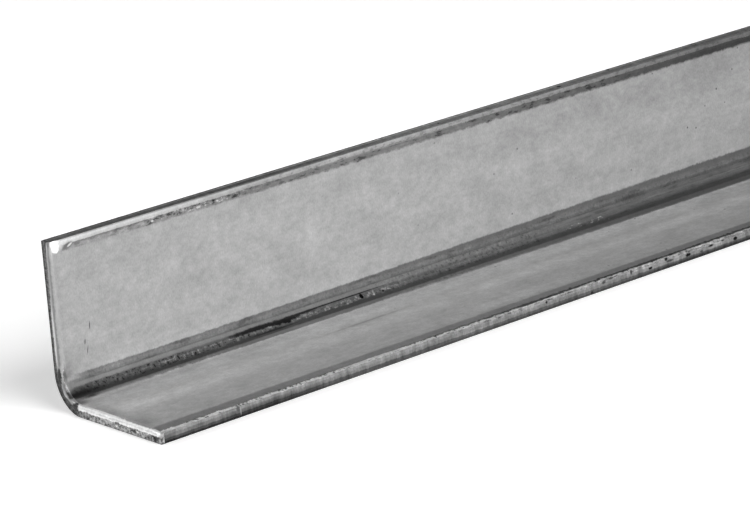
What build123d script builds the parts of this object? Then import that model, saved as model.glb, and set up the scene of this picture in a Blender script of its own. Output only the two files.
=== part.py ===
from build123d import *
import os

# Cold-formed equal-leg steel angle: one straight length of L-section stock.
# Frame: +X runs along the bar, the flat leg reaches towards -Y and lies on Z = 0,
# and the upright leg stands along the +Y side. The origin is the centre of the base.

# Driving dimensions, mm
stock_length = 1000.0      # one short bar, as cut for sale
upright_leg = 40.0         # heel to toe, measured up the outer face
flat_leg = 40.0            # heel to toe, measured across the underside
wall = 3.0                 # strip thickness, the same in both legs and the bend
bend_inner_radius = 6.0    # inside of the cold-formed bend, twice the wall
toe_roll_width = 3.4       # reach of the slitting rollover back from each toe
toe_roll_drop = 0.4        # how far the inner face falls away at the toe
toe_corner_radius = 0.35   # softened corners of each slit toe
end_edge_radius = 0.25     # softened rim of each sheared end

# The bend keeps the wall thickness, so its two arcs share one centre.
bend_outer_radius = bend_inner_radius + wall

# Planes of the section's faces, in the Y-Z plane
back_y = flat_leg / 2
toe_y = back_y - flat_leg
bend_centre = (back_y - bend_outer_radius, bend_outer_radius)
inner_wall_y = back_y - wall
upright_roll_start = (inner_wall_y, upright_leg - toe_roll_width)
upright_roll_end = (inner_wall_y + toe_roll_drop, upright_leg)
flat_roll_start = (toe_y + toe_roll_width, wall)
flat_roll_end = (toe_y, wall - toe_roll_drop)

with BuildPart() as steel_angle:
    with BuildSketch(Plane.YZ.offset(-stock_length / 2)):
        with BuildLine():
            # Outer skin: up the back, and round the heel from the underside
            Line((back_y, bend_outer_radius), (back_y, upright_leg))
            CenterArc(bend_centre, bend_outer_radius, 270, 90)
            Line((back_y - bend_outer_radius, 0), (toe_y, 0))
            # Toes: each slit edge is square, with the inner face rolled over onto it
            Line((back_y, upright_leg), upright_roll_end)
            TangentArc(upright_roll_start, upright_roll_end, tangent=(0, 1))
            Line((toe_y, 0), flat_roll_end)
            TangentArc(flat_roll_start, flat_roll_end, tangent=(-1, 0))
            # Inner skin: down the upright leg, round the bend and along the flat leg
            Line(upright_roll_start, (inner_wall_y, bend_outer_radius))
            CenterArc(bend_centre, bend_inner_radius, 270, 90)
            Line((back_y - bend_outer_radius, wall), flat_roll_start)
        make_face()
        upright_toe_corners = vertices().group_by(Axis.Y)[-1]
        flat_toe_corners = vertices().group_by(Axis.X)[0]
        fillet(upright_toe_corners + flat_toe_corners, radius=toe_corner_radius)
    extrude(amount=stock_length)

    # Both sheared ends have their rims lightly rounded.
    end_rims = faces().filter_by(Axis.X).edges()
    fillet(end_rims, radius=end_edge_radius)

steel_angle.part.label = "steel_angle"

os.makedirs("parts", exist_ok=True)
export_step(steel_angle.part, "parts/steel_angle.step")
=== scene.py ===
import bpy
import math
import numpy as np
from mathutils import Matrix, Vector


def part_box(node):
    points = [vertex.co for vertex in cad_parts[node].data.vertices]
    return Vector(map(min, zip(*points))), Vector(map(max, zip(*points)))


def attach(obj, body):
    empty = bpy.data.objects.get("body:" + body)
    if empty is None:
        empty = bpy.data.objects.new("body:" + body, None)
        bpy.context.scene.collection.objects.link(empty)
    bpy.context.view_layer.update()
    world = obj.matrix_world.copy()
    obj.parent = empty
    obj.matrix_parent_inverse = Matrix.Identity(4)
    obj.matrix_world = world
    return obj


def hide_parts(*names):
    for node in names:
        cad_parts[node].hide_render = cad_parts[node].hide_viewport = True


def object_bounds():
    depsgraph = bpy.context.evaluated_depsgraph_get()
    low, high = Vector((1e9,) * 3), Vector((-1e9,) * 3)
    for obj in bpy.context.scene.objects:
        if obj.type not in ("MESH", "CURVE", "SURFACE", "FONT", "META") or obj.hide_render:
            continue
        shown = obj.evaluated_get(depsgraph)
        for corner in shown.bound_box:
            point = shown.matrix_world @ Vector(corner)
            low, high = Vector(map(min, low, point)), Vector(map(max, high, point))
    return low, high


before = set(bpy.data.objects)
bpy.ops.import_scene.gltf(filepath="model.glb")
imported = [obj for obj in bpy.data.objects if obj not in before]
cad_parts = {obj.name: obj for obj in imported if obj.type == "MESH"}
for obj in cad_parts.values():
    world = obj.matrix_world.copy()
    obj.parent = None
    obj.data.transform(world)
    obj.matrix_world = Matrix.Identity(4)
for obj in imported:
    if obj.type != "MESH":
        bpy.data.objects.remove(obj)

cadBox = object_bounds()
print("frame loaded")

mm = 0.001
barLow, barHigh = (np.array(corner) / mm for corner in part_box("steel_angle"))
barLength = barHigh[0] - barLow[0]
legSize = barHigh[2] - barLow[2]

# The bar is worked out flat, as the strip it was slit from, and then folded.
# A place on it is across the strip (0 at the upright's toe), through its wall
# (0 on the outside of the angle) and along the bar. Every size is in millimetres.
bar = {
    "wall": 3.0,
    "bendInside": 6.0,         # inside radius of the fold
    "rim": 0.08,               # rounding of the strip's own edges
    "underRound": 0.25,        # the flat leg's toe curls under
    "topToeLean": 0.07,        # the upright's toe slopes to the inside
    "shineWidth": 1.43,        # burnished strip behind the upright's toe, steep
    "shineDrop": 0.32,
    "shadeWidth": 3.03,        # then a shallow one
    "shadeDrop": 0.09,
    "flatRollWidth": 4.1,      # the flat leg rolls down towards its toe
    "flatRollDrop": 0.33,
    "flatRollFade": 200.0,     # and less so along the bar, down to a share of it
    "flatRollLeast": 0.2,
    "raggedDepth": 0.12,       # tears along the flat leg's toe
    "raggedFrom": (1.9, 2.9),
    "toothLengths": (1.5, 0.8),
    "grooveDepth": 0.012,      # scores that the slitting left on both toes
    "waveDrop": 0.012,         # slow waves of rolled stock
    "waveSizes": (7.0, 11.0),
    "endRollWidth": 1.5,       # the shear rolled the inner face over at both ends
    "endRollDrop": 0.95,
    "endRollUneven": 0.15,
    "tornUpright": 1.75,       # how much of the wall is torn at an end, on each leg
    "tornFlat": 2.5,
    "tornWander": 0.12,
    "fractureDepth": 0.16,
    "fractureSizes": ((0.9, 0.7), (0.4, 0.35)),
    "cornerReach": (3.3, 3.1), # the near end's top corner is hammered flat
    "cornerDrop": 0.14,
    "strike": {                # a struck mark beside it
        "across": 2.0, "along": 5.4, "halfLength": 1.7, "halfWidth": 0.5, "turn": -25.0, "depth": 0.16},
    "leanUpright": 0.0224,     # the near end is slightly off square
    "leanFlat": 0.0131,
    "leanFade": 60.0,
    "topBand": 3.4,            # closer grid lines behind each toe and beside the bend
    "flatBand": 4.6,
    "bendBand": 1.6,
    "fineLength": 12.0,        # station spacing: fine, close and plain parts of the length
    "fineStep": 0.32,
    "closeLength": 228.0,
    "closeStep": 0.72,
    "plainStep": 8.0,
    "endReach": 0.7,           # faces this near an end have the sheared finish
}

bendOutside = bar["bendInside"] + bar["wall"]
bendMiddle = bar["bendInside"] + bar["wall"] / 2
straightRun = legSize - bendOutside
bendRun = bendMiddle * math.pi / 2
stripWidth = 2 * straightRun + bendRun
perimeter = 2 * (stripWidth + bar["wall"])


# Evenly spaced runs of grid lines, given as (start, end, steps), joined into one row.
def gridLines(*runs):
    places = [np.linspace(start, end, steps, endpoint=False) for start, end, steps in runs]
    return np.concatenate(places + [[runs[-1][1]]])


# Value noise: seeded random heights on a unit lattice, blended between its corners
# by 3t^2 - 2t^3. The lattice repeats past its last row and column.
def smoothNoise(a, b, seed):
    rows, columns = 97, 1531
    lattice = np.random.default_rng(seed).uniform(-1, 1, (rows, columns))
    row, column = np.floor(a).astype(int), np.floor(b).astype(int)
    down, along = a - row, b - column
    down, along = down * down * (3 - 2 * down), along * along * (3 - 2 * along)
    nextRow, nextColumn = (row + 1) % rows, (column + 1) % columns
    row, column = row % rows, column % columns
    upper = lattice[row, column] * (1 - along) + lattice[row, nextColumn] * along
    lower = lattice[nextRow, column] * (1 - along) + lattice[nextRow, nextColumn] * along
    return upper * (1 - down) + lower * down


# From 0 at start to 1 at end, easing in and out.
def ramp(value, start, end):
    t = np.clip((value - start) / (end - start), 0, 1)
    return t * t * (3 - 2 * t)


# From 1 at zero straight down to 0 at the given width.
def slope(value, width):
    return np.clip(1 - value / width, 0, 1)


# Rounds a box's edges: what a point lies past the inner box is scaled by its
# largest part over its length, which turns the square rim into a round one.
def roundEdges(points, size, radius):
    inner = np.clip(points, radius, size - radius)
    past = points - inner
    length = np.linalg.norm(past, axis=1)
    scale = np.abs(past).max(axis=1) / np.maximum(length, 1e-9)
    return inner + past * scale[:, None]


# Folds the flat strip: straight down the upright leg, round the bend's middle
# radius by a quarter turn, then straight out along the flat leg.
def foldStrip(across, through):
    turn = np.clip((across - straightRun) / bendMiddle, 0, math.pi / 2)
    radius = bendOutside - through
    fromBack = bendOutside - radius * np.cos(turn) + np.maximum(across - straightRun - bendRun, 0)
    height = bendOutside - radius * np.sin(turn) + np.maximum(straightRun - across, 0)
    return fromBack, height


# How far the inner face lies below the plain strip: the two toes' rollovers, the
# sheared ends' rollover (a quarter ellipse), the hammered corner, the struck mark (a
# bowl, 1 less the squares of the two distances over its half sizes) and slow waves.
def innerDrop(across, along, toEnd):
    topToe, flatToe = across, stripWidth - across
    drop = bar["shineDrop"] * slope(topToe, bar["shineWidth"])
    drop += bar["shadeDrop"] * slope(topToe, bar["shadeWidth"])
    least = bar["flatRollLeast"]
    flatRoll = bar["flatRollDrop"] * (least + (1 - least) * slope(along, bar["flatRollFade"]))
    drop += flatRoll * slope(flatToe, bar["flatRollWidth"]) ** 1.5
    fromRim = slope(toEnd, bar["endRollWidth"])
    uneven = 1 + bar["endRollUneven"] * smoothNoise(across / 5, toEnd / 60, 4)
    drop += bar["endRollDrop"] * (1 - np.sqrt(1 - fromRim ** 2)) * uneven
    acrossReach, alongReach = bar["cornerReach"]
    corner = 1 - (across / acrossReach) ** 3 - (along / alongReach) ** 3
    drop += bar["cornerDrop"] * np.clip(corner, 0, 1)
    strike = bar["strike"]
    turn = math.radians(strike["turn"])
    over, up = along - strike["along"], across - strike["across"]
    lengthwise = (over * math.cos(turn) + up * math.sin(turn)) / strike["halfLength"]
    sideways = (up * math.cos(turn) - over * math.sin(turn)) / strike["halfWidth"]
    drop += strike["depth"] * np.clip(1 - lengthwise ** 2 - sideways ** 2, 0, 1)
    waveAcross, waveAlong = bar["waveSizes"]
    waves = bar["waveDrop"] * smoothNoise(across / waveAcross, along / waveAlong, 5) * ramp(toEnd, 0, 8)
    return drop + bar["waveDrop"] + waves


# Shapes the strip and folds it: the inner face's drop thins the wall, the toes
# lean, curl under and tear, the ends tear back, and the near end leans. Gives the
# places and the strip with its worn wall, which the finishes read.
def shapeStrip(strip):
    size = np.array([stripWidth, bar["wall"], barLength])
    across, through, along = roundEdges(strip, size, bar["rim"]).T
    topToe, flatToe = across, stripWidth - across
    toEnd = np.minimum(along, barLength - along)
    shaped = through * (1 - innerDrop(across, along, toEnd) / bar["wall"])

    under = bar["underRound"]
    curl = under - np.sqrt(under ** 2 - np.clip(under - through, 0, under) ** 2)
    longTooth, shortTooth = bar["toothLengths"]
    teeth = 0.5 + 0.35 * smoothNoise(along / longTooth, through * 0, 8)
    teeth += 0.25 * smoothNoise(along / shortTooth, through * 0, 9)
    ragged = bar["raggedDepth"] * np.clip(teeth, 0, 1) * ramp(through, *bar["raggedFrom"])
    grooves = bar["grooveDepth"] * (1 + smoothNoise(along / 0.9, through / 1.4, 10))
    pushed = bar["topToeLean"] * through * slope(topToe, 1.0)
    pushed += grooves * slope(topToe, 0.5)
    pushed -= (curl + ragged + grooves) * slope(flatToe, 1.2)

    # Broken metal: coarse and fine noise, only where the shear tore rather than cut.
    onFlat = ramp(across, straightRun, straightRun + bendRun)
    wander = bar["tornWander"]
    tornLine = bar["tornUpright"] + (bar["tornFlat"] - bar["tornUpright"]) * onFlat
    tornLine += wander * smoothNoise(across / 1.8, through * 0, 11)
    torn = ramp(through, tornLine + wander, tornLine - wander) * ramp(through, 0.1, 0.45)
    (coarseWide, coarseHigh), (fineWide, fineHigh) = bar["fractureSizes"]
    rough = 0.5 + 0.35 * smoothNoise(across / coarseWide, through / coarseHigh, 6)
    rough += 0.2 * smoothNoise(across / fineWide, through / fineHigh, 7)
    tear = bar["fractureDepth"] * torn * np.maximum(rough, 0.05) * ramp(toEnd, 0.4, 0)

    fromBack, height = foldStrip(across + pushed, shaped)
    lean = bar["leanUpright"] * height + bar["leanFlat"] * (legSize - fromBack)
    place = along + np.where(along < barLength / 2, tear, -tear)
    place += lean * (1 - ramp(along, 0, bar["leanFade"]))
    places = np.stack([barLow[0] + place, barHigh[1] - fromBack, barLow[2] + height], axis=1)
    return places, np.stack([strip[:, 0], shaped, strip[:, 2]], axis=1)


# One ring of the strip's section: over the inner face, down the flat leg's toe,
# back along the outer face and up the upright's toe.
def sectionRing(acrossLines, throughLines):
    between = throughLines[-2:0:-1]
    across = np.concatenate([
        acrossLines, np.full(len(between), acrossLines[-1]),
        acrossLines[::-1], np.full(len(between), acrossLines[0])])
    through = np.concatenate([
        np.full(len(acrossLines), throughLines[-1]), between,
        np.full(len(acrossLines), throughLines[0]), between[::-1]])
    return across, through


# The ring repeated at each place along the bar, as rows of (across, through, along).
def ringPoints(ring, places):
    across, through = (np.tile(part, len(places)) for part in ring)
    return np.stack([across, through, np.repeat(places, len(ring[0]))], axis=1)


# Quads between two closed rings of point numbers, or between many pairs at once.
def ringQuads(first, second):
    corners = [first, np.roll(first, -1, -1), np.roll(second, -1, -1), second]
    return np.stack(corners, axis=-1).reshape(-1, 4)


# Joins a fine ring to a coarse one: three fine steps share one wide face on the
# inner and outer faces, and one step meets one step on the toes.
def joinRings(fineNumbers, coarseNumbers, sideSteps, toeSteps, flip):
    steps = np.concatenate([
        np.full(sideSteps, 3), np.full(toeSteps, 1), np.full(sideSteps, 3), np.full(toeSteps, 1)])
    start = np.concatenate([[0], np.cumsum(steps)[:-1]])
    at = np.arange(len(steps))
    after = (at + 1) % len(steps)
    fineAt = [fineNumbers[(start + step) % len(fineNumbers)] for step in range(4)]
    six = np.stack([*fineAt, coarseNumbers[after], coarseNumbers[at]], 1)[steps == 3]
    four = np.stack([*fineAt[:2], coarseNumbers[after], coarseNumbers[at]], 1)[steps == 1]
    return (six[:, ::-1], four[:, ::-1]) if flip else (six, four)


# Closes an end with a grid across and through, whose rim is the end ring.
def capGrid(ringNumbers, rows, columns, firstNew):
    grid = np.zeros((rows, columns), int)
    grid[:, -1] = ringNumbers[:rows]
    grid[-1, 1:-1] = ringNumbers[rows:rows + columns - 2][::-1]
    grid[:, 0] = ringNumbers[rows + columns - 2:2 * rows + columns - 2][::-1]
    grid[0, 1:-1] = ringNumbers[2 * rows + columns - 2:]
    inner = firstNew + np.arange((rows - 2) * (columns - 2))
    grid[1:-1, 1:-1] = inner.reshape(rows - 2, columns - 2)
    corners = [grid[:-1, :-1], grid[1:, :-1], grid[1:, 1:], grid[:-1, 1:]]
    return np.stack(corners, axis=-1).reshape(-1, 4)


# How far round the section a point lies, from the upright's toe over the inner face.
def roundSection(across, through):
    wall, tiny = bar["wall"], 1e-6
    onFlatToe = stripWidth + wall - through
    onTopToe = perimeter - wall + through
    onToe = np.where(across > stripWidth / 2, onFlatToe, onTopToe)
    onFace = np.where(through > wall / 2, across, perimeter - wall - across)
    isToe = (across < tiny) | (across > stripWidth - tiny)
    return np.where(isToe & (through < wall - tiny), onToe, onFace)


# Unrolled map for the finish: the section's way round against the length, cut into
# three lengths side by side, with the two ends as thin bars above them.
def unrollFaces(corners):
    lengths, gap, margin = 3, 3.0, 8.0
    sideHeight, capStart, capHeight, capWidth = 0.9, 0.93, 0.05, 0.47    # shares of the map
    nearCapLeft, farCapLeft = 0.01, 0.51
    across, through, along = corners[..., 0], corners[..., 1], corners[..., 2]
    isCap = np.ptp(along, axis=1) < 1e-6
    around = roundSection(across, through)
    wraps = (around.max(axis=1) > perimeter * 0.75)[:, None] & (around < perimeter * 0.25)
    around = np.where(wraps, around + perimeter, around)
    piece = barLength / lengths
    index = np.clip(np.floor(along.mean(axis=1) / piece), 0, lengths - 1)[:, None]
    sideU = (index * (perimeter + gap) + around + gap / 2) / (lengths * (perimeter + gap))
    sideV = (along - index * piece + margin) / (piece + 2 * margin) * sideHeight
    isFar = (along.mean(axis=1) > barLength / 2)[:, None]
    capU = np.where(isFar, farCapLeft, nearCapLeft) + across / stripWidth * capWidth
    capV = capStart + through / bar["wall"] * capHeight
    u = np.where(isCap[:, None], capU, sideU)
    v = np.where(isCap[:, None], capV, sideV)
    return np.stack([u, v], axis=-1), isCap


def addObject(name, data):
    added = bpy.data.objects.new(name, data)
    bpy.context.collection.objects.link(added)
    return added


# Builds the whole bar: rings of the section along its length, fine at both ends.
def buildAngle():
    rim, wall, roll = bar["rim"], bar["wall"], bar["endRollWidth"]
    rimLine = rim * 0.4    # one more line inside each rounded rim
    topBand, flatBand = bar["topBand"], bar["flatBand"]
    bendStart, bendEnd = straightRun - bar["bendBand"], straightRun + bendRun + bar["bendBand"]
    coarse = gridLines(
        (0, rimLine, 1), (rimLine, rim, 1), (rim, topBand, 10), (topBand, bendStart, 6),
        (bendStart, bendEnd, 22), (bendEnd, stripWidth - flatBand, 6),
        (stripWidth - flatBand, stripWidth - rim, 12), (stripWidth - rim, stripWidth - rimLine, 1),
        (stripWidth - rimLine, stripWidth, 1))
    fine = np.interp(np.arange(3 * len(coarse) - 2) / 3, np.arange(len(coarse)), coarse)
    throughLines = gridLines(
        (0, rimLine, 1), (rimLine, rim, 1), (rim, wall - rim, 8), (wall - rim, wall - rimLine, 1),
        (wall - rimLine, wall, 1))

    # Stations crowd towards each end by 1 - cos, over a little more than the rollover.
    crowded = roll * 1.15 * (1 - np.cos(np.linspace(0, math.pi / 2, 12)))
    endPlaces = np.sort(np.concatenate([[rimLine, rim], crowded]))
    start, fineEnd, closeEnd = endPlaces[-1] + bar["fineStep"], bar["fineLength"], bar["closeLength"]
    plainEnd = barLength - fineEnd
    middle = gridLines(
        (start, fineEnd, int((fineEnd - start) / bar["fineStep"])),
        (fineEnd, closeEnd, int((closeEnd - fineEnd) / bar["closeStep"])),
        (closeEnd, plainEnd, int((plainEnd - closeEnd) / bar["plainStep"])),
        (plainEnd, barLength - start, 12))

    fineRing, coarseRing = sectionRing(fine, throughLines), sectionRing(coarse, throughLines)
    farPlaces = (barLength - endPlaces)[::-1]
    runs = [(fineRing, endPlaces), (coarseRing, middle), (fineRing, farPlaces)]
    points = [ringPoints(ring, places) for ring, places in runs]
    first = np.cumsum([0] + [len(part) for part in points])
    near, body, far = (
        first[i] + np.arange(len(points[i])).reshape(-1, len(runs[i][0][0])) for i in range(3))
    quads = [ringQuads(rows[:-1], rows[1:]) for rows in (near, body, far)]

    sideSteps, toeSteps = len(coarse) - 1, len(throughLines) - 1
    nearSix, nearFour = joinRings(near[-1], body[0], sideSteps, toeSteps, False)
    farSix, farFour = joinRings(far[0], body[-1], sideSteps, toeSteps, True)

    lines = np.meshgrid(fine[1:-1], throughLines[1:-1], indexing="ij")
    across, through = (part.ravel() for part in lines)
    nearCap = capGrid(near[0], len(fine), len(throughLines), first[3])
    farCap = capGrid(far[-1], len(fine), len(throughLines), first[3] + len(across))[:, ::-1]
    for place in (0.0, barLength):
        points.append(np.stack([across, through, np.full(len(across), place)], axis=1))

    strip = np.concatenate(points)
    quads = np.concatenate(quads + [nearFour, farFour, nearCap, farCap])
    wide = np.concatenate([nearSix, farSix])
    mesh = bpy.data.meshes.new("steelAngle")
    places, worn = shapeStrip(strip)
    mesh.from_pydata(places * mm, [], quads.tolist() + wide.tolist())
    mesh.attributes.new("strip", "FLOAT_VECTOR", "POINT").data.foreach_set("vector", worn.ravel())
    mesh.polygons.foreach_set("use_smooth", np.ones(len(mesh.polygons), bool))

    # Finish of each face: 0 rolled skin, 1 slit toes, 2 sheared ends with their rollover.
    unrolled, isCap = zip(*(unrollFaces(strip[faces]) for faces in (quads, wide)))
    middles = np.concatenate([strip[faces].mean(axis=1) for faces in (quads, wide)])
    isToe = (middles[:, 0] < 1e-6) | (middles[:, 0] > stripWidth - 1e-6)
    toEnd = np.minimum(middles[:, 2], barLength - middles[:, 2])
    isEnd = np.concatenate(isCap) | ((toEnd < bar["endReach"]) & (middles[:, 1] > 0.1))
    finishes = np.where(isEnd, 2, np.where(isToe, 1, 0)).astype(np.int32)
    mesh.polygons.foreach_set("material_index", finishes)
    mapping = mesh.uv_layers.new(name="OFBake")
    mapping.data.foreach_set("uv", np.concatenate([part.ravel() for part in unrolled]))
    mesh.update()
    return addObject("steelAngle", mesh)


angle = buildAngle()
print("steel angle built:", len(angle.data.vertices), "points,", len(angle.data.polygons), "faces")


# sRGB hex to the linear colour that a shader takes.
def linearColour(hexText):
    values = [int(hexText[i:i + 2], 16) / 255 for i in (1, 3, 5)]
    return [v / 12.92 if v <= 0.04045 else ((v + 0.055) / 1.055) ** 2.4 for v in values] + [1.0]


# Adds a node with its settings; an input that is a socket is linked, any other value is
# set. Gives the wanted output, or all of them where it is None.
def addNode(tree, kind, inputs=None, output=0, **settings):
    node = tree.nodes.new("ShaderNode" + kind)
    for name, value in settings.items():
        setattr(node, name, value)
    for name, value in (inputs or {}).items():
        if isinstance(value, bpy.types.NodeSocket):
            tree.links.new(value, node.inputs[name])
        else:
            node.inputs[name].default_value = value
    return node.outputs if output is None else node.outputs[output]


# Settings that nodes share. An eased range holds itself at its ends. Clamping inside
# Map Range would put that step after all other nodes, and a long shader then runs out of room.
eased = {"interpolation_type": "SMOOTHSTEP", "clamp": False}
colourMix = {"data_type": "RGBA", "output": 2}
colourTimes = {**colourMix, "blend_type": "MULTIPLY"}
noEnd = 9999.0    # for a band that goes on past the bar


def emptyTree(owner):
    owner.use_nodes = True
    owner.node_tree.nodes.clear()
    return owner.node_tree


# A new steel with an empty tree, and the strip's place as a vector and as its three parts.
def startSteel(name):
    material = bpy.data.materials.new(name)
    tree = emptyTree(material)
    strip = addNode(tree, "Attribute", output="Vector", attribute_name="strip")
    return material, tree, strip, addNode(tree, "SeparateXYZ", {0: strip}, output=None)


# A straight ramp from 0 to 1, held at its ends.
def straightRamp(tree, value, start, end):
    rise = addNode(tree, "MapRange", {"Value": value, "From Min": start, "From Max": end}, clamp=False)
    return addNode(tree, "Clamp", {0: rise})


# A mask that is 1 between two places and fades over a soft width at each. A band that
# drifts has its end read from a value of its own.
def softBand(tree, value, start, end, softStart, softEnd=None, endValue=None):
    softEnd = softStart if softEnd is None else softEnd
    rise = addNode(tree, "MapRange", {
        "Value": value, "From Min": start - softStart, "From Max": start + softStart}, **eased)
    fall = addNode(tree, "MapRange", {
        "Value": value if endValue is None else endValue,
        "From Min": end + softEnd, "From Max": end - softEnd}, **eased)
    return addNode(tree, "Math", {0: rise, 1: fall}, operation="MULTIPLY")


# A colour that goes from near to middle to far along the bar.
def toneAlong(tree, fromNear, fromMiddle, tones):
    near, middle, far = (linearColour(tone) for tone in tones)
    first = addNode(tree, "Mix", {0: fromNear, 6: near, 7: middle}, **colourMix)
    return addNode(tree, "Mix", {0: fromMiddle, 6: first, 7: far}, **colourMix)


# Noises multiplied together, each a factor around 1 that swings by its depth. A pattern's
# sizes are across the strip, through its wall and along it. Gives the first noise as well.
def patternShade(tree, strip, patterns, span):
    shade = first = None
    for sizes, detail, depth in patterns:
        place = addNode(tree, "Mapping", {"Vector": strip, "Scale": [1 / size for size in sizes]})
        noise = addNode(tree, "TexNoise", {
            "Vector": place, "Scale": 1.0, "Detail": detail, "Roughness": 0.6})
        factor = addNode(tree, "MapRange", {
            "Value": noise, "From Min": 0.5 - span, "From Max": 0.5 + span,
            "To Min": 1 - depth, "To Max": 1 + depth}, clamp=False)
        first = first or noise
        shade = factor if shade is None else addNode(
            tree, "Math", {0: shade, 1: factor}, operation="MULTIPLY")
    return shade, first


# Flecks inside a field: a fine noise whose peaks multiply the tone by the light factor
# and whose hollows multiply it by the dark one. Their size is about the given sizes.
def addFlecks(tree, tone, strip, field, sizes, fullPeak, light, dark):
    place = addNode(tree, "Mapping", {"Vector": strip, "Scale": [0.8 / size for size in sizes]})
    noise = addNode(tree, "TexNoise", {"Vector": place, "Scale": 1.0, "Detail": 3.0, "Roughness": 0.6})
    for start, end, factor in ((0.53, fullPeak, light), (0.47, 0.36, dark)):
        fleck = addNode(tree, "MapRange", {"Value": noise, "From Min": start, "From Max": end}, **eased)
        amount = addNode(tree, "Math", {0: fleck, 1: field}, operation="MULTIPLY")
        tone = addNode(tree, "Mix", {0: amount, 6: tone, 7: (factor, factor, factor, 1.0)}, **colourTimes)
    return tone


# One mark laid over a tone: full inside an ellipsoid at a place on the strip, with an edge
# that goes from its outer share of the half sizes to its inner one, frayed by a noise.
def addMark(tree, tone, colour, strip, place, halfSizes, noise, frayed, outer, inner, turn=0):
    near = addNode(tree, "Mapping", {
        "Vector": strip, "Location": place, "Rotation": (0, math.radians(turn), 0), "Scale": halfSizes},
        vector_type="TEXTURE")
    reach = addNode(tree, "VectorMath", {0: near}, output="Value", operation="LENGTH")
    uneven = addNode(tree, "Math", {0: noise, 1: frayed, 2: reach}, operation="MULTIPLY_ADD")
    mask = addNode(tree, "MapRange", {"Value": uneven, "From Min": outer, "From Max": inner}, **eased)
    return addNode(tree, "Mix", {0: mask, 6: tone, 7: linearColour(colour)}, **colourMix)


# Bare metal under its tone and its shade, finished to the material's output.
def finishSteel(tree, tone, shade, inputs):
    colour = addNode(tree, "VectorMath", {0: tone, 1: shade}, operation="MULTIPLY")
    shader = addNode(tree, "BsdfPrincipled", {"Base Color": colour, "Metallic": 1.0, **inputs})
    addNode(tree, "OutputMaterial", {"Surface": shader}, output=None)


# Bare cold-rolled steel: a dull, nearly even grey skin with faint clouds and drawing
# lines, a dark stripe in the fold that is partly scale and partly painted shade and reflection,
# and toes burnished by the slitting rolls, with a painted highlight on them that fades along the bar.
skin = {
    "tones": ("#b6b6b6", "#b8b8b8", "#b0b0b0"),
    "middleFrom": 6.0,         # places along the bar that the three tones belong to
    "middleTo": 60.0,
    "farFrom": 90.0,
    "farTo": 210.0,
    "driftFrom": 20.0,         # the stripes drift sideways between these places
    "driftTo": 210.0,
    "endWidth": 3.0,           # painted shade on a thin edge beside each sheared end
    "endShade": 0.88,
    "patterns": (              # sizes across, through and along, detail, depth
        ((7.0, 10 / 3, 9.0), 2.0, 0.11),     # clouds
        ((1.6, 10 / 3, 2.0), 4.0, 0.13),     # mottling
        ((1.4, 10 / 3, 70.0), 1.0, 0.03),    # drawing lines
        ((0.6, 10 / 3, 0.34), 2.0, 0.12),    # grain
    ),
    "fraySizes": (2.5, 1.0, 2.0),    # noise that frays the stripes' borders
    "markFray": 0.3,
    "shineEdge": 1.45,         # how far the burnished toe reaches
    "lightFleck": 2.2,         # what a full light or dark fleck multiplies the tone by
    "darkFleck": 0.15,
    "pitSpacing": 5.2632,      # pin-head pits, a few to each ten square centimetres
    "pitTone": "#6c6c6c",
    "roughness": 0.5,
    "shineRoughness": 0.42,
}

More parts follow.
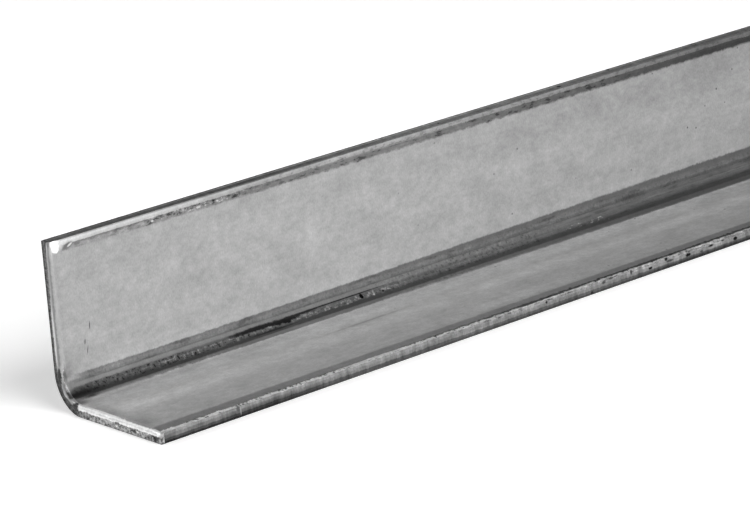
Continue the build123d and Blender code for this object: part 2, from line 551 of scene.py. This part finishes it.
# Stripes along the inner face, one laid over the next: start, end, softness of each,
# drift of each along the bar, how ragged, how far from the end it starts, and the
# tones near, midway and far.
skin["stripes"] = (
    (3.0, 8.0, 0.3, 4.0, 0.0, 4.0, 0.3, 0, ("#aeaeae", "#b1b1b1", "#a0a0a0")),      # darker near the top
    (50.5, 57.5, 3.0, 3.5, 0.0, 0.0, 0.3, 0, ("#cccccc", "#c4c4c4", "#cecece")),    # paler flat leg
    (58.0, 74.0, 4.0, 1.0, 0.0, 0.0, 0.3, 0, ("#b6b6b6", "#b9b9b9", "#c0c0c0")),
    (40.6, 47.0, 0.5, 4.5, 1.5, 0.0, 0.3, 0, ("#d0d0d0", "#dcdcdc", "#eeeeee")),    # painted light by the fold
    (1.4, 3.0, 0.12, 0.35, 0.0, 0.18, 0.3, 0, ("#a2a2a2", "#808080", "#444444")),   # shade by the toe
    (1.45, 1.95, 0.1, 0.3, -0.12, 0.0, 0.25, 0, ("#848484", "#7e7e7e", "#4a4a4a")),
    # The burnished toe carries a painted highlight, bright near the end and fading along the bar.
    (-1.0, 1.5, 0.1, 0.08, 0.0, -0.1, 0.1, 0, ("#c6c6c6", "#a2a2a2", "#6c6c6c")),   # burnished toe
    (-1.0, 0.38, 0.1, 0.12, 0.0, 0.0, 0.0, 0, ("#949494", "#565656", "#545454")),
    # The fold's stripes, down to its lower part, are partly scale and partly painted shade and
    # reflection; their borders widen along the bar as that shade does.
    (33.2, 40.0, 1.0, 1.0, 0.0, 0.0, 0.25, 0, ("#848484", "#848484", "#7c7c7c")),   # painted shade round the fold
    (32.1, 36.0, 0.3, 0.4, -1.6, 0.0, 0.25, 4, ("#7e7e7e", "#737373", "#6a6a6a")),  # fold, upper part
    (33.4, 36.0, 0.4, 0.4, 0.0, 0.0, 0.15, 2, ("#6a6a6a", "#646464", "#505050")),
    (33.95, 34.35, 0.25, 0.15, 0.0, 0.0, 0.1, 5, ("#5a5a5a", "#545454", "#4c4c4c")),
    (35.5, 38.2, 0.3, 0.3, 0.4, 0.0, 0.25, 0.7, ("#484848", "#585858", "#606060")), # fold, middle
    (36.5, 38.2, 0.25, 0.3, 0.0, 0.0, 0.25, 0, ("#505050", "#6c6c6c", "#626262")),
    (38.0, 39.95, 0.3, 0.75, 0.0, 2.0, 0.3, 1, ("#888888", "#8a8a8a", "#6e6e6e")),  # fold, lower part
    (37.65, 39.35, 0.3, 0.35, 0.0, 0.3, 0.15, 1, ("#484848", "#585858", "#565656")),
    (69.6, 73.9, 0.5, 0.1, 0.0, 0.0, 0.25, 0, ("#8c8c8c", "#929292", "#8c8c8c")),   # the flat toe's roll
    (72.4, 74.5, 0.25, 0.1, 0.0, 0.0, 0.25, 0, ("#8f8f8f", "#787878", "#565656")),
    (72.3, 73.2, 0.15, 0.15, 0.0, 0.0, 0.8, 85, ("#585858", "#404040", "#3c3c3c")),
    (72.7, 74.5, 0.2, 0.1, 0.8, 0.0, 0.5, 0, ("#f2f2f2", "#f6f6f6", "#d4d4d4")),    # its cut lip
)

# Fields of small rubs and scale flecks: from and to across, from and to along,
# softness along, share of light flecks, share of dark ones, and the flecks' own
# size across and along.
skin["fleckFields"] = (
    (35.7, 38.2, 1.0, 34.0, 4.0, 0.5, 0.9, (1.0, 0.7)),
    (36.2, 38.1, 27.0, 62.0, 4.0, 1.25, 0.9, (1.0, 0.9)),
    (36.2, 37.9, 66.0, 98.0, 5.0, 1.2, 0.5, (1.0, 0.8)),
    (36.1, 37.9, 66.0, 98.0, 5.0, 0.8, 0.3, (0.9, 1.9)),
    (34.4, 38.3, 94.0, 148.0, 10.0, 0.25, 0.5, (1.0, 0.8)),
    (34.4, 38.3, 150.0, 900.0, 15.0, 0.2, 0.3, (0.8, 5.0)),
    (36.6, 38.1, 154.0, 166.0, 3.0, 1.8, 0.0, (1.0, 1.0)),
    (31.9, 34.3, 4.0, 240.0, 4.0, 0.15, 0.35, (2.2, 5.0)),
    (32.2, 34.2, 4.0, 240.0, 4.0, 0.12, 0.25, (0.9, 0.6)),
    (39.6, 41.0, 20.0, 120.0, 9.0, 0.3, 0.4, (1.0, 0.8)),
    (1.5, 2.9, 3.0, 24.0, 2.0, 0.25, 0.35, (0.8, 1.8)),
    (1.5, 2.9, 24.0, 64.0, 6.0, 0.45, 0.85, (0.7, 2.2)),
    (1.5, 2.6, 30.0, 56.0, 8.0, 0.9, 0.75, (0.8, 0.9)),
    (1.4, 3.2, 64.0, 180.0, 15.0, 0.15, 0.7, (0.8, 2.2)),
    (0.3, 1.6, 60.0, 240.0, 10.0, 0.05, 0.35, (0.8, 1.2)),
    (72.4, 73.9, 5.0, 400.0, 5.0, 0.2, 1.0, (1.2, 0.7)),
    (72.2, 73.3, 110.0, 900.0, 16.0, 0.1, 1.0, (1.2, 2.2)),
)

# Single marks on the inner face: across, along, half width, half length, turn in
# degrees, softness of the edge, how frayed, tone.
skin["marks"] = (
    (1.3, 2.7, 1.6, 1.6, 0, 0.6, 0.4, "#c8c8c8"),        # the hammered corner, painted white as a highlight
    (1.4, 1.65, 1.85, 1.15, 0, 0.25, 0.4, "#ffffff"),
    (2.1, 5.0, 0.85, 2.1, -24, 0.6, 0.6, "#7c7c7c"),     # the struck mark, and its bright floor
    (2.1, 7.7, 0.55, 1.3, 0, 0.6, 1.2, "#808080"),
    (1.95, 5.7, 0.28, 1.0, -26, 0.6, 0.4, "#d4d4d4"),
    (2.3, 29.5, 0.35, 0.5, 0, 0.6, 0.5, "#d8d8d8"),
    (21.6, 8.9, 1.2, 0.16, 4, 0.5, 0.5, "#585858"),      # short ticks near the end
    (25.1, 7.2, 0.8, 0.2, 8, 0.5, 0.5, "#545454"),
    (27.2, 7.7, 1.3, 0.2, 14, 0.7, 0.9, "#7c7c7c"),
    (54.0, 0.6, 14.0, 4.2, 0, 0.9, 0.6, "#a2a2a2"),      # painted shade by the end
    (64.5, 1.5, 5.5, 6.5, 0, 0.9, 0.5, "#9a9a9a"),
    (30.2, 0.8, 4.0, 5.2, 0, 0.9, 0.4, "#a0a0a0"),
    (31.9, 0.8, 1.8, 3.4, 0, 0.9, 0.4, "#949494"),
    # painted shade that damps the highlight on the rollover at the fold's end
    (32.6, 0.7, 3.6, 0.8, 0, 0.6, 0.3, "#6e6e6e"),
    (34.8, 0.9, 2.3, 2.6, 0, 0.8, 0.4, "#606060"),       # the fold's dark start
    (37.8, 2.5, 2.0, 10.0, 0, 1.0, 0.6, "#242424"),
    (39.7, 5.0, 1.3, 3.6, 0, 1.0, 0.5, "#4c4c4c"),
    (41.3, 1.0, 2.6, 4.0, 0, 1.0, 0.5, "#858585"),
    (40.2, 68.0, 0.9, 44.0, 0, 0.5, 0.8, "#8a8a8a"),
    (36.0, 55.0, 0.95, 11.0, 0, 0.6, 1.0, "#202020"),    # black scale in the fold
    (36.2, 62.5, 1.0, 8.5, 0, 0.5, 1.3, "#1e1e1e"),
    (36.8, 63.6, 0.95, 3.2, 0, 0.6, 1.8, "#1c1c1c"),
    (35.85, 69.0, 0.5, 7.0, 0, 0.6, 0.8, "#242424"),
    (35.7, 80.0, 0.3, 20.0, 0, 0.6, 0.5, "#262626"),
    (38.3, 59.0, 0.5, 10.0, 0, 0.7, 0.6, "#3c3c3c"),
    (36.8, 87.0, 1.15, 0.65, 0, 0.5, 0.6, "#0a0a0a"),
    (37.3, 93.5, 0.6, 0.5, 0, 0.6, 0.6, "#2c2c2c"),
    (36.1, 97.0, 0.5, 2.4, 0, 0.6, 0.8, "#505050"),
    (50.3, 79.0, 0.9, 17.0, 0, 0.9, 0.9, "#a0a0a0"),     # a rubbed streak on the flat leg
    (66.0, 112.0, 3.6, 26.0, 0, 1.0, 1.0, "#cccccc"),
    # painted shade: the flat leg beside the fold darker far along
    (46.5, 245.0, 5.5, 90.0, 0, 0.9, 0.6, "#bcbcbc"),
    (33.8, 177.0, 1.6, 7.0, 0, 1.0, 1.2, "#3c3c3c"),     # a dark smear on the fold
    (1.62, 98.0, 0.22, 36.0, 0, 0.7, 0.4, "#8c8c8c"),
    (73.3, 21.6, 0.7, 0.5, 0, 0.6, 0.3, "#707070"),      # a nick in the lip
    (73.6, 0.0, 1.1, 4.6, 0, 0.9, 0.4, "#c6c6c6"),       # the lip, dull at the end, wide and pale,
    (73.0, 61.0, 0.75, 13.0, 0, 0.6, 0.8, "#ececec"),    # and then torn
    (72.95, 113.0, 0.65, 21.0, 0, 0.6, 1.2, "#444444"),
    (72.85, 116.4, 0.5, 1.5, 0, 0.5, 0.6, "#0c0c0c"),
    (72.8, 140.6, 0.45, 2.4, 0, 0.5, 0.8, "#121212"),
    (72.8, 171.4, 0.45, 1.9, 0, 0.5, 0.8, "#121212"),
)


def coldRolledSteel():
    material, tree, strip, (across, through, along) = startSteel("coldRolledSteel")
    inside = addNode(tree, "Math", {0: through, 1: bar["wall"] / 2}, operation="GREATER_THAN")

    shade = patternShade(tree, strip, skin["patterns"], span=0.25)[0]
    farAway = addNode(tree, "Math", {0: barLength, 1: along}, operation="SUBTRACT")
    fromEnd = addNode(tree, "Math", {0: along, 1: farAway}, operation="MINIMUM")
    endShade = addNode(tree, "MapRange", {
        "Value": fromEnd, "From Max": skin["endWidth"], "To Min": skin["endShade"]}, **eased)
    shade = addNode(tree, "Math", {0: shade, 1: endShade}, operation="MULTIPLY")

    fromNear = straightRamp(tree, along, skin["middleFrom"], skin["middleTo"])
    fromMiddle = straightRamp(tree, along, skin["farFrom"], skin["farTo"])
    further = addNode(tree, "MapRange", {
        "Value": along, "From Min": skin["driftFrom"], "From Max": skin["driftTo"]}, **eased)
    tone = toneAlong(tree, fromNear, fromMiddle, skin["tones"])

    # The stripes, each with its borders moved by the drift and by the fray.
    frayPlace = addNode(tree, "Mapping", {
        "Vector": strip, "Scale": [1 / size for size in skin["fraySizes"]]})
    fray = addNode(tree, "TexNoise", {
        "Vector": frayPlace, "Scale": 1.0, "Detail": 5.0, "Roughness": 0.75})
    swing = addNode(tree, "MapRange", {
        "Value": fray, "From Min": 0.3, "From Max": 0.7, "To Min": -1.0, "To Max": 1.0}, clamp=False)
    for start, end, softStart, softEnd, driftStart, driftEnd, ragged, begins, tones in skin["stripes"]:
        place = addNode(tree, "Math", {0: swing, 1: ragged, 2: across}, operation="MULTIPLY_ADD")
        first, last = (
            addNode(tree, "Math", {0: further, 1: -drift, 2: place}, operation="MULTIPLY_ADD")
            for drift in (driftStart, driftEnd))
        mask = softBand(tree, first, start, end, softStart, softEnd, last)
        mask = addNode(tree, "Math", {0: mask, 1: inside}, operation="MULTIPLY")
        begun = softBand(tree, fromEnd, begins, noEnd, 0.6 * begins + 0.01)
        mask = addNode(tree, "Math", {0: mask, 1: begun}, operation="MULTIPLY")
        stripeTone = toneAlong(tree, fromNear, fromMiddle, tones)
        tone = addNode(tree, "Mix", {0: mask, 6: tone, 7: stripeTone}, **colourMix)

    for start, end, alongFrom, alongTo, soft, light, dark, (sizeAcross, sizeAlong) in skin["fleckFields"]:
        place = addNode(tree, "Math", {0: swing, 1: 0.25, 2: across}, operation="MULTIPLY_ADD")
        field = addNode(tree, "Math", {
            0: softBand(tree, place, start, end, 0.25),
            1: softBand(tree, along, alongFrom, alongTo, soft)}, operation="MULTIPLY")
        field = addNode(tree, "Math", {0: field, 1: inside}, operation="MULTIPLY")
        tone = addFlecks(
            tree, tone, strip, field, (sizeAcross, 0.8, sizeAlong), fullPeak=0.65,
            light=1 + light * (skin["lightFleck"] - 1), dark=1 + dark * (skin["darkFleck"] - 1))

    for markAcross, markAlong, halfWidth, halfLength, turn, soft, frayed, colour in skin["marks"]:
        tone = addMark(
            tree, tone, colour, strip, (markAcross, bar["wall"], markAlong), (halfWidth, 2.0, halfLength),
            noise=swing, frayed=frayed * skin["markFray"], outer=1.0, inner=1.0 - soft, turn=turn)

    # Pin-head pits, faint at the near end.
    pits = addNode(tree, "TexVoronoi", {
        "Vector": strip, "Scale": 1 / skin["pitSpacing"], "Randomness": 1.0})
    pit = addNode(tree, "MapRange", {"Value": pits, "From Min": 0.07, "From Max": 0.035}, **eased)
    pit = addNode(tree, "Math", {0: pit, 1: further}, operation="MULTIPLY")
    tone = addNode(tree, "Mix", {0: pit, 6: tone, 7: linearColour(skin["pitTone"])}, **colourMix)

    nearToe = addNode(tree, "Math", {
        0: softBand(tree, across, -noEnd, skin["shineEdge"], 0.15), 1: inside}, operation="MULTIPLY")
    roughness = addNode(tree, "MapRange", {
        "Value": nearToe, "To Min": skin["roughness"], "To Max": skin["shineRoughness"]}, clamp=False)
    finishSteel(tree, tone, shade, {"Roughness": roughness})
    return material


# Slit edges: the rolls cut half the wall and tore the rest, so the flat leg's toe is
# pale and scored above and dark and rough below, that darkness partly painted shade,
# and the upright's is dull all over.
slitEdge = {
    "topTones": (              # through the wall, outside first: start, tones near, midway and far
        (0.0, ("#4a4a4a", "#5c5c5c", "#808080")),
        (0.5, ("#9a9a9a", "#c0c0c0", "#e0e0e0")),
        (1.08, ("#7e7e7e", "#747474", "#acacac")),
        (2.6, ("#969696", "#656565", "#8a8a8a")),
    ),
    "flatTones": (
        (0.0, ("#2e2e2e", "#575757", "#4a4a4a")),
        (0.6, ("#505050", "#5c5c5c", "#646464")),
        (1.2, ("#7a7a7a", "#848484", "#8a8a8a")),
        (2.0, ("#929292", "#8c8c8c", "#969696")),
        (2.7, ("#c6c6c6", "#b8b8b8", "#b2b2b2")),
    ),
    "middleFrom": 20.0,        # places along the bar that the three tones belong to
    "middleTo": 60.0,
    "farTo": 110.0,
    "farShade": (130.0, 220.0, 0.72),  # painted shade on both toes further along: from, to, factor
    "flatShades": (            # through: from, to, softness; along: the same; factor
        ((-noEnd, 1.7, 0.5), (20.0, 44.0, 6.0), 0.62),   # painted shadow below
        ((-noEnd, 3.6, 0.5), (-noEnd, 3.2, 2.8), 0.6),   # darker at the very end
        # painted shade on the underside further along
        ((-noEnd, 0.9, 0.3), (148.0, noEnd, 10.0), 0.55),
        ((1.3, 2.3, 0.3), (150.0, noEnd, 15.0), 1.3),
    ),
    "lip": {                   # the flat toe's lip is torn into light and dark teeth
        "from": 2.15, "begins": 90.0, "sizes": (1.6, 0.45, 1.1), "light": 1.7, "dark": 0.3},
    "pitSpacing": 10 / 3,      # torn pits, larger further along
    "pitGrowth": (90.0, 150.0, 0.06, 0.16),
    "pitTone": "#303030",
    "pits": (                  # larger ones on the flat toe: along, through, half sizes, tone
        (21.5, 2.3, 0.7, 1.0, "#606060"),
        (22.2, 2.0, 0.24, 1.5, "#a4a4a4"),
        (133.0, 2.05, 0.8, 0.35, "#505050"),
        (142.0, 2.4, 0.35, 0.9, "#404040"),
        (148.4, 1.6, 0.8, 0.4, "#1c1c1c"),
        (155.0, 1.8, 1.3, 0.3, "#606060"),
        (161.2, 1.65, 0.95, 0.45, "#202020"),
        (165.6, 1.4, 0.6, 0.25, "#585858"),
        (169.0, 2.0, 1.2, 0.45, "#262626"),
        (173.0, 2.3, 0.7, 0.3, "#4a4a4a"),
        (177.3, 1.7, 0.8, 0.45, "#1c1c1c"),
    ),
    "patterns": (              # sizes across, through and along, detail, depth
        ((2.0, 6.0, 1.5), 4.0, 0.3),      # scores through the wall
        ((2.0, 1.6, 9.0), 3.0, 0.22),     # blotches
        ((2.0, 0.5, 0.4), 2.0, 0.15),     # grain
    ),
    "scoreHeight": 0.08,
    "roughness": 0.5,
}


def slitEdgeSteel():
    material, tree, strip, (across, through, along) = startSteel("slitEdgeSteel")
    isFlat = addNode(tree, "Math", {0: across, 1: stripWidth / 2}, operation="GREATER_THAN")
    shade, scores = patternShade(tree, strip, slitEdge["patterns"], span=0.2)

    fromNear = straightRamp(tree, along, slitEdge["middleFrom"], slitEdge["middleTo"])
    fromMiddle = straightRamp(tree, along, slitEdge["middleTo"], slitEdge["farTo"])
    wavy = addNode(tree, "Math", {0: scores, 1: 0.6, 2: -0.3}, operation="MULTIPLY_ADD")
    level = addNode(tree, "Math", {0: wavy, 1: through}, operation="ADD")
    sides = []
    for bands in (slitEdge["topTones"], slitEdge["flatTones"]):
        side = None
        for start, tones in bands:
            own = toneAlong(tree, fromNear, fromMiddle, tones)
            mask = softBand(tree, level, start, noEnd, 0.15)
            side = own if side is None else addNode(
                tree, "Mix", {0: mask, 6: side, 7: own}, **colourMix)
        sides.append(side)
    tone = addNode(tree, "Mix", {0: isFlat, 6: sides[0], 7: sides[1]}, **colourMix)

    # Painted shade: both toes darker further along the bar.
    farShadeFrom, farShadeTo, farShadeFactor = slitEdge["farShade"]
    paintedFarShade = addNode(tree, "MapRange", {
        "Value": along, "From Min": farShadeFrom, "From Max": farShadeTo,
        "To Min": 1.0, "To Max": farShadeFactor}, **eased)
    shade = addNode(tree, "Math", {0: shade, 1: paintedFarShade}, operation="MULTIPLY")
    for throughBand, alongBand, factor in slitEdge["flatShades"]:
        mask = addNode(tree, "Math", {
            0: softBand(tree, level, *throughBand), 1: softBand(tree, along, *alongBand)},
            operation="MULTIPLY")
        mask = addNode(tree, "Math", {0: mask, 1: isFlat}, operation="MULTIPLY")
        tone = addNode(tree, "Mix", {0: mask, 6: tone, 7: (factor, factor, factor, 1.0)}, **colourTimes)

    lip = slitEdge["lip"]
    torn = addNode(tree, "Math", {
        0: softBand(tree, through, lip["from"], noEnd, 0.3), 1: isFlat}, operation="MULTIPLY")
    torn = addNode(tree, "Math", {
        0: torn, 1: softBand(tree, along, lip["begins"], noEnd, 15.0)}, operation="MULTIPLY")
    tone = addFlecks(
        tree, tone, strip, torn, lip["sizes"], fullPeak=0.66, light=lip["light"], dark=lip["dark"])

    growFrom, growTo, smallPit, largePit = slitEdge["pitGrowth"]
    pits = addNode(tree, "TexVoronoi", {
        "Vector": strip, "Scale": 1 / slitEdge["pitSpacing"], "Randomness": 1.0})
    pitSize = addNode(tree, "MapRange", {
        "Value": along, "From Min": growFrom, "From Max": growTo,
        "To Min": smallPit, "To Max": largePit}, **eased)
    pit = addNode(tree, "Math", {0: pits, 1: pitSize}, operation="LESS_THAN")
    tone = addNode(tree, "Mix", {0: pit, 6: tone, 7: linearColour(slitEdge["pitTone"])}, **colourMix)
    for pitAlong, pitThrough, halfLength, halfHeight, colour in slitEdge["pits"]:
        tone = addMark(
            tree, tone, colour, strip, (stripWidth, pitThrough, pitAlong), (9.0, halfHeight, halfLength),
            noise=scores, frayed=1.2, outer=1.7, inner=1.1)
    bump = addNode(tree, "Bump", {
        "Height": scores, "Strength": 0.4, "Distance": slitEdge["scoreHeight"] * mm})
    finishSteel(tree, tone, shade, {"Roughness": slitEdge["roughness"], "Normal": bump})
    return material


# Sheared ends: the blade burnished the inner side of the wall and rolled it over,
# bright on the flat leg, where that brightness is partly a painted highlight, and the outer
# side broke off as dark, sparkling grain.
shearedEnd = {
    "bands": (                 # outside first: start and tone on upright, bend and flat leg, grain
        ((0.0, 0.0, 0.0), ("#545454", "#484848", "#909090"), 0.9),
        ((0.7, 0.9, 0.3), ("#6c6c6c", "#4a4a4a", "#969696"), 1.0),
        ((1.2, 1.55, 1.65), ("#a8a8a8", "#6c6c6c", "#f0f0f0"), 0.15),
        ((1.85, 1.9, 2.0), ("#929292", "#a0a0a0", "#ececec"), 0.15),
        ((2.5, 2.4, 2.4), ("#aeaeae", "#c4c4c4", "#cccccc"), 0.1),
    ),
    "marks": (                 # across, through, half width, half height, tone
        (22.0, 1.45, 8.5, 0.5, "#d0d0d0"),   # a bright step on the upright
        (9.0, 1.9, 6.0, 0.35, "#a4a4a4"),
        (7.0, 1.15, 9.5, 0.5, "#686868"),
        (0.8, 1.45, 3.0, 0.36, "#565656"),
        (1.2, 1.95, 2.6, 0.2, "#c0c0c0"),
        (1.6, 2.7, 3.4, 0.45, "#bababa"),
        (31.6, 1.9, 2.2, 0.6, "#424242"),    # the bend's dark flanks
        (33.4, 1.2, 1.9, 0.7, "#404040"),
        (40.9, 1.9, 1.3, 1.1, "#404040"),
        (36.3, 2.1, 1.3, 0.8, "#b0b0b0"),    # and the bright wedge between them
        (37.3, 2.9, 1.3, 0.6, "#6c6c6c"),
        (33.0, 2.9, 3.4, 0.24, "#707070"),   # painted shade on its rollover
        (65.5, 2.9, 9.0, 0.22, "#8c8c8c"),
        (69.4, 0.8, 1.8, 0.7, "#767676"),
        (71.4, 0.9, 1.3, 0.8, "#404040"),    # a dark pit before the corner
        (73.9, 1.4, 1.1, 1.5, "#a6a6a6"),
        (73.9, 2.35, 1.3, 0.4, "#b0b0b0"),
        (44.6, 1.0, 2.4, 0.9, "#7e7e7e"),
        (56.6, 0.95, 0.5, 0.35, "#ffffff"),
        (57.0, 1.6, 1.3, 0.4, "#606060"),
        (64.6, 1.1, 0.45, 0.25, "#e0e0e0"),
        (63.4, 0.9, 1.0, 0.5, "#5e5e5e"),
    ),
    "grainSize": 0.5,
    "grainHeight": 0.12,
    "waveSize": 2.857,         # the bands' borders wave along the section
    "intoBend": (2.5, 1.5),    # from before to after the bend's start, where tones change
    "outOfBend": (1.5, -0.1),  # and its end
    "roughness": 0.42,
}


def shearedEndSteel():
    material, tree, strip, (across, through, along) = startSteel("shearedEndSteel")
    grain = addNode(tree, "TexNoise", {
        "Vector": strip, "Scale": 0.6 / shearedEnd["grainSize"], "Detail": 3.0, "Roughness": 0.7})
    wavePlace = addNode(tree, "Mapping", {
        "Vector": strip, "Scale": (1 / shearedEnd["waveSize"], 0.0, 0.0)})
    waves = addNode(tree, "TexNoise", {
        "Vector": wavePlace, "Scale": 1.0, "Detail": 3.0, "Roughness": 0.6})
    bendEnd = straightRun + bendRun
    before, after = shearedEnd["intoBend"]
    toBend = straightRamp(tree, across, straightRun - before, straightRun + after)
    before, after = shearedEnd["outOfBend"]
    toFlat = straightRamp(tree, across, bendEnd - before, bendEnd + after)

    tone = graininess = None
    for (onUpright, inBend, onFlat), tones, grainy in shearedEnd["bands"]:
        own = toneAlong(tree, toBend, toFlat, tones)
        start = addNode(tree, "Mix", {0: toBend, 2: onUpright, 3: inBend})
        start = addNode(tree, "Mix", {0: toFlat, 2: start, 3: onFlat})
        start = addNode(tree, "Math", {0: waves, 1: 0.8, 2: start}, operation="MULTIPLY_ADD")
        over = addNode(tree, "Math", {0: through, 1: start}, operation="SUBTRACT")
        mask = softBand(tree, over, -0.4, noEnd, 0.1)
        tone = own if tone is None else addNode(tree, "Mix", {0: mask, 6: tone, 7: own}, **colourMix)
        graininess = grainy if graininess is None else addNode(
            tree, "Mix", {0: mask, 2: graininess, 3: grainy})
    swing = addNode(tree, "MapRange", {
        "Value": grain, "From Min": 0.28, "From Max": 0.72, "To Min": -1.0, "To Max": 1.0}, **eased)
    for markAcross, markThrough, halfWidth, halfHeight, colour in shearedEnd["marks"]:
        tone = addMark(
            tree, tone, colour, strip, (markAcross, markThrough, 0.0), (halfWidth, halfHeight, 1e6),
            noise=swing, frayed=0.25, outer=1.1, inner=0.6)
    shade = addNode(tree, "Math", {0: swing, 1: graininess, 2: 1.0}, operation="MULTIPLY_ADD")
    height = addNode(tree, "Math", {0: grain, 1: graininess}, operation="MULTIPLY")
    bump = addNode(tree, "Bump", {
        "Height": height, "Strength": 0.6, "Distance": shearedEnd["grainHeight"] * mm})
    finishSteel(tree, tone, shade, {"Roughness": shearedEnd["roughness"], "Normal": bump})
    return material


for makeMaterial in (coldRolledSteel, slitEdgeSteel, shearedEndSteel):
    angle.data.materials.append(makeMaterial())
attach(angle, "root")
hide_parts("steel_angle")
print("finishes ready:", len(angle.data.materials))

# Studio: a wide white floor, soft lamps and a pale room.
studio = {
    "floorSize": 60.0,
    "floorColour": "#f4f4f4",
    "floorShown": 0.3,         # what the floor adds to its own lit colour where it is seen
    "horizonLight": "#e6e6e6",
    "upperLight": "#616161",
    "horizonHeight": 0.25,     # sine of the height at which the room is at its upper tone
    "lampAim": (-0.42, 0.0, 0.02),
    "lamps": {                 # place, side of the square, power
        "frontSoft": ((-0.3, -2.4, 2.0), 2.0, 62.0),
        "frontLamp": ((-0.3, -1.2, 0.9), 0.7, 3.6),
        "rightLamp": ((0.6, -1.0, 0.8), 0.7, 4.5),
        "lowLeftLamp": ((-0.9, -1.3, 0.25), 0.7, 2.2),
        "backLamp": ((-0.4, 1.3, 0.8), 0.9, 4.6),
        "backLeftLamp": ((-1.3, 0.9, 0.9), 0.7, 5.0),
    },
}


# Matt white paint: it takes a soft shadow and mirrors nothing.
def whiteFloor():
    half = studio["floorSize"] / 2
    mesh = bpy.data.meshes.new("floor")
    corners = [(-half, -half, 0), (half, -half, 0), (half, half, 0), (-half, half, 0)]
    mesh.from_pydata(corners, [], [(0, 1, 2, 3)])
    floor = addObject("floor", mesh)
    material = bpy.data.materials.new("paintedFloor")
    tree = emptyTree(material)
    path = addNode(tree, "LightPath", output=None)
    seen = addNode(tree, "Math", {
        0: path["Is Camera Ray"], 1: path["Is Glossy Ray"]}, operation="MAXIMUM")
    seen = addNode(tree, "Math", {0: seen, 1: path["Is Transmission Ray"]}, operation="MAXIMUM")
    glow = addNode(tree, "Math", {0: seen, 1: studio["floorShown"]}, operation="MULTIPLY")
    shader = addNode(tree, "BsdfPrincipled", {
        "Base Color": linearColour(studio["floorColour"]), "Roughness": 0.9, "Specular IOR Level": 0.0,
        "Emission Color": (1, 1, 1, 1), "Emission Strength": glow})
    addNode(tree, "OutputMaterial", {"Surface": shader}, output=None)
    mesh.materials.append(material)
    floor.location.z = cadBox[0][2]


def softLamp(name, place, size, power):
    lamp = bpy.data.lights.new(name, "AREA")
    lamp.shape, lamp.size, lamp.energy = "SQUARE", size, power
    light = addObject(name, lamp)
    light.location = place
    towards = Vector(studio["lampAim"]) - Vector(place)
    light.rotation_euler = towards.to_track_quat("-Z", "Y").to_euler()
    light.visible_camera = False


# The room's tone runs from pale at the horizon to its upper tone overhead.
def paleRoom():
    room = bpy.data.worlds.new("room")
    bpy.context.scene.world = room
    tree = emptyTree(room)
    place = addNode(tree, "TexCoord", output="Generated")
    height = addNode(tree, "SeparateXYZ", {0: place}, output="Z")
    rise = addNode(tree, "MapRange", {"Value": height, "From Max": studio["horizonHeight"]}, **eased)
    tone = addNode(tree, "Mix", {
        "Factor": rise, 6: linearColour(studio["horizonLight"]),
        7: linearColour(studio["upperLight"])}, **colourMix)
    back = addNode(tree, "Background", {"Color": tone, "Strength": 1.0})
    addNode(tree, "OutputWorld", {"Surface": back}, output=None)


whiteFloor()
for name, (place, size, power) in studio["lamps"].items():
    softLamp(name, place, size, power)
paleRoom()
print("studio ready")

# The camera looks down on the near end from the left, with a long lens and a slight roll.
view = {
    "aim": (-0.43589, -0.02029, 0.0268),
    "distance": 0.88769,
    "azimuth": -38.414,
    "elevation": 16.223,
    "roll": -5.574,
    "lens": 187.98,
}


def placeCamera():
    azimuth, elevation, roll = (math.radians(view[name]) for name in ("azimuth", "elevation", "roll"))
    level = math.cos(elevation)
    back = Vector((math.sin(azimuth) * level, -math.cos(azimuth) * level, math.sin(elevation)))
    camera = addObject("camera", bpy.data.cameras.new("camera"))
    camera.data.lens = view["lens"]
    camera.data.sensor_width = 36.0
    turned = (-back).to_track_quat("-Z", "Y").to_matrix() @ Matrix.Rotation(roll, 3, "Z")
    camera.rotation_euler = turned.to_euler()
    camera.location = Vector(view["aim"]) + back * view["distance"]
    bpy.context.scene.camera = camera


placeCamera()
bpy.context.scene.view_settings.view_transform = "Standard"
print("camera placed")
